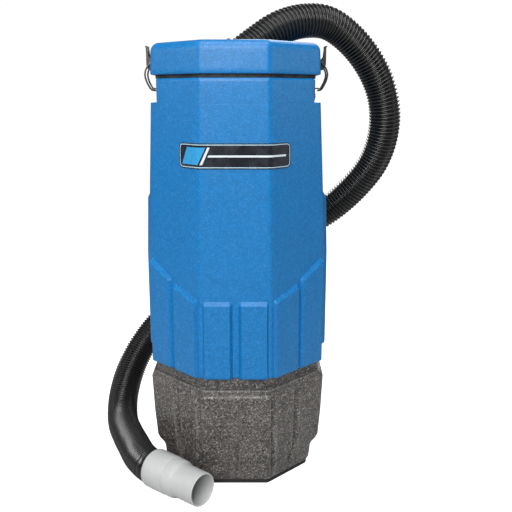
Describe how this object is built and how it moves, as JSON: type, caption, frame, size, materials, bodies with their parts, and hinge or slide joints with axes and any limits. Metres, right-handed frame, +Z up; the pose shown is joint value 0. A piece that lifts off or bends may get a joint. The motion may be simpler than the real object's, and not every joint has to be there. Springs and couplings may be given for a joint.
{
  "type": "backpack vacuum cleaner",
  "caption": "Eight-sided tank vacuum worn on the back, with motor base, lift-off latched lid, ribbed suction hose ending in a wand cuff, and padded harness.",
  "frame": {"origin": "centre of the foot on the floor, under the tank's centre line", "axes": "+Z up, the front face looks along -Y, the harness is at +Y"},
  "size_m": [0.4405, 0.3625, 0.626],
  "materials": {
    "blue_shell": "rotomoulded, speckled, satin",
    "granite_shell": "speckled granite look, satin",
    "black_rubber": "matte",
    "black_plastic": "fine grain",
    "plate_steel": "pressed sheet",
    "latch_metal": "dull plated",
    "wire_steel": "dull plated wire",
    "winding": "varnished",
    "lamination": "dull",
    "carbon": "matte",
    "foam": "open foam",
    "filter_cloth": "woven filter cloth",
    "dome_foam": "pleated filter medium",
    "hose_black": "corrugated, semi-gloss",
    "cuff_grey": "smooth, light grey",
    "label": "printed film",
    "rocker_red": "glossy",
    "pad_cloth": "padded mesh cloth",
    "webbing": "woven webbing"
  },
  "bodies": {
    "tank": {"base_shell": "granite_shell", "base_foot": "black_rubber", "motor_plate": "plate_steel", "motor_gasket": "black_rubber", "floor_seal": "black_rubber", "fan_housing": "plate_steel", "motor_top_bracket": "plate_steel", "motor_field": "lamination", "motor_end_bracket": "plate_steel", "motor_cushion": "black_rubber", "bearing_top": "plate_steel", "bearing_bottom": "plate_steel", "carbon_brushes": "carbon", "exhaust_filter": "foam", "exhaust_grille": "black_plastic", "grille_screws": "plate_steel", "switch_bezel": "black_plastic", "cord_gland": "black_plastic", "body_shell": "blue_shell", "dome_filter": "dome_foam", "filter_bag": "filter_cloth", "bag_rim": "black_plastic", "front_label": "label", "keeper_right": "latch_metal", "keeper_left": "latch_metal", "keeper_rivets": "plate_steel", "back_plate": "black_plastic", "back_pad": "pad_cloth", "strap_right": "pad_cloth", "strap_left": "pad_cloth", "strap_webbing": "webbing", "ladder_locks": "black_plastic", "belt_pad": "pad_cloth", "belt_web_left": "webbing", "buckle_socket": "black_plastic"},
    "lid": {"lid_shell": "blue_shell", "lid_seal": "black_rubber", "latch_plate_right": "latch_metal", "latch_plate_left": "latch_metal", "hose_collar": "black_plastic", "hose": "hose_black", "hose_insert": "black_plastic"},
    "lever_right": {"lever_right": "latch_metal"},
    "lever_left": {"lever_left": "latch_metal"},
    "bail_right": {"bail_right": "wire_steel"},
    "bail_left": {"bail_left": "wire_steel"},
    "wand_cuff": {"wand_cuff": "cuff_grey"},
    "rotor": {"motor_rotor": "winding"},
    "rocker": {"switch_rocker": "rocker_red"},
    "plug": {"buckle_plug": "black_plastic", "belt_web_right": "webbing"}
  },
  "joints": [
    {"name": "lid_lift", "type": "slide", "parent": "tank", "child": "lid", "axis": [0, 0, 1], "range_m": [0, 0.025]},
    {"name": "lever_right_turn", "type": "hinge", "parent": "lid", "child": "lever_right", "pos_m": [0.1105, 0, 0.541], "axis": [0, 1, 0], "range_deg": [0, 150]},
    {"name": "lever_left_turn", "type": "hinge", "parent": "lid", "child": "lever_left", "pos_m": [-0.1105, 0, 0.541], "axis": [0, -1, 0], "range_deg": [0, 150]},
    {"name": "bail_right_swing", "type": "hinge", "parent": "lever_right", "child": "bail_right", "pos_m": [0.109, 0, 0.547], "axis": [0, 1, 0], "range_deg": [-225, 0]},
    {"name": "bail_left_swing", "type": "hinge", "parent": "lever_left", "child": "bail_left", "pos_m": [-0.109, 0, 0.547], "axis": [0, -1, 0], "range_deg": [-225, 0]},
    {"name": "cuff_swivel", "type": "hinge", "parent": "lid", "child": "wand_cuff", "pos_m": [-0.1084, -0.0978, 0.02575], "axis": [0.7735, -0.6338, 0], "continuous": true},
    {"name": "rotor_spin", "type": "hinge", "parent": "tank", "child": "rotor", "pos_m": [0, 0, 0.09], "axis": [0, 0, 1], "continuous": true},
    {"name": "rocker_tilt", "type": "hinge", "parent": "tank", "child": "rocker", "pos_m": [-0.022, 0.104, 0.116], "axis": [1, 0, 0], "range_deg": [0, 14]},
    {"name": "buckle_pull", "type": "slide", "parent": "tank", "child": "plug", "axis": [1, 0, 0], "range_m": [0, 0.03]}
  ],
  "couplings": [
    {"joint": "lever_right_turn", "follows": "lid_lift", "rad_per_m": 104.7},
    {"joint": "lever_left_turn", "follows": "lid_lift", "rad_per_m": 104.7},
    {"joint": "bail_right_swing", "follows": "lid_lift", "rad_per_m": -157},
    {"joint": "bail_left_swing", "follows": "lid_lift", "rad_per_m": -157}
  ]
}
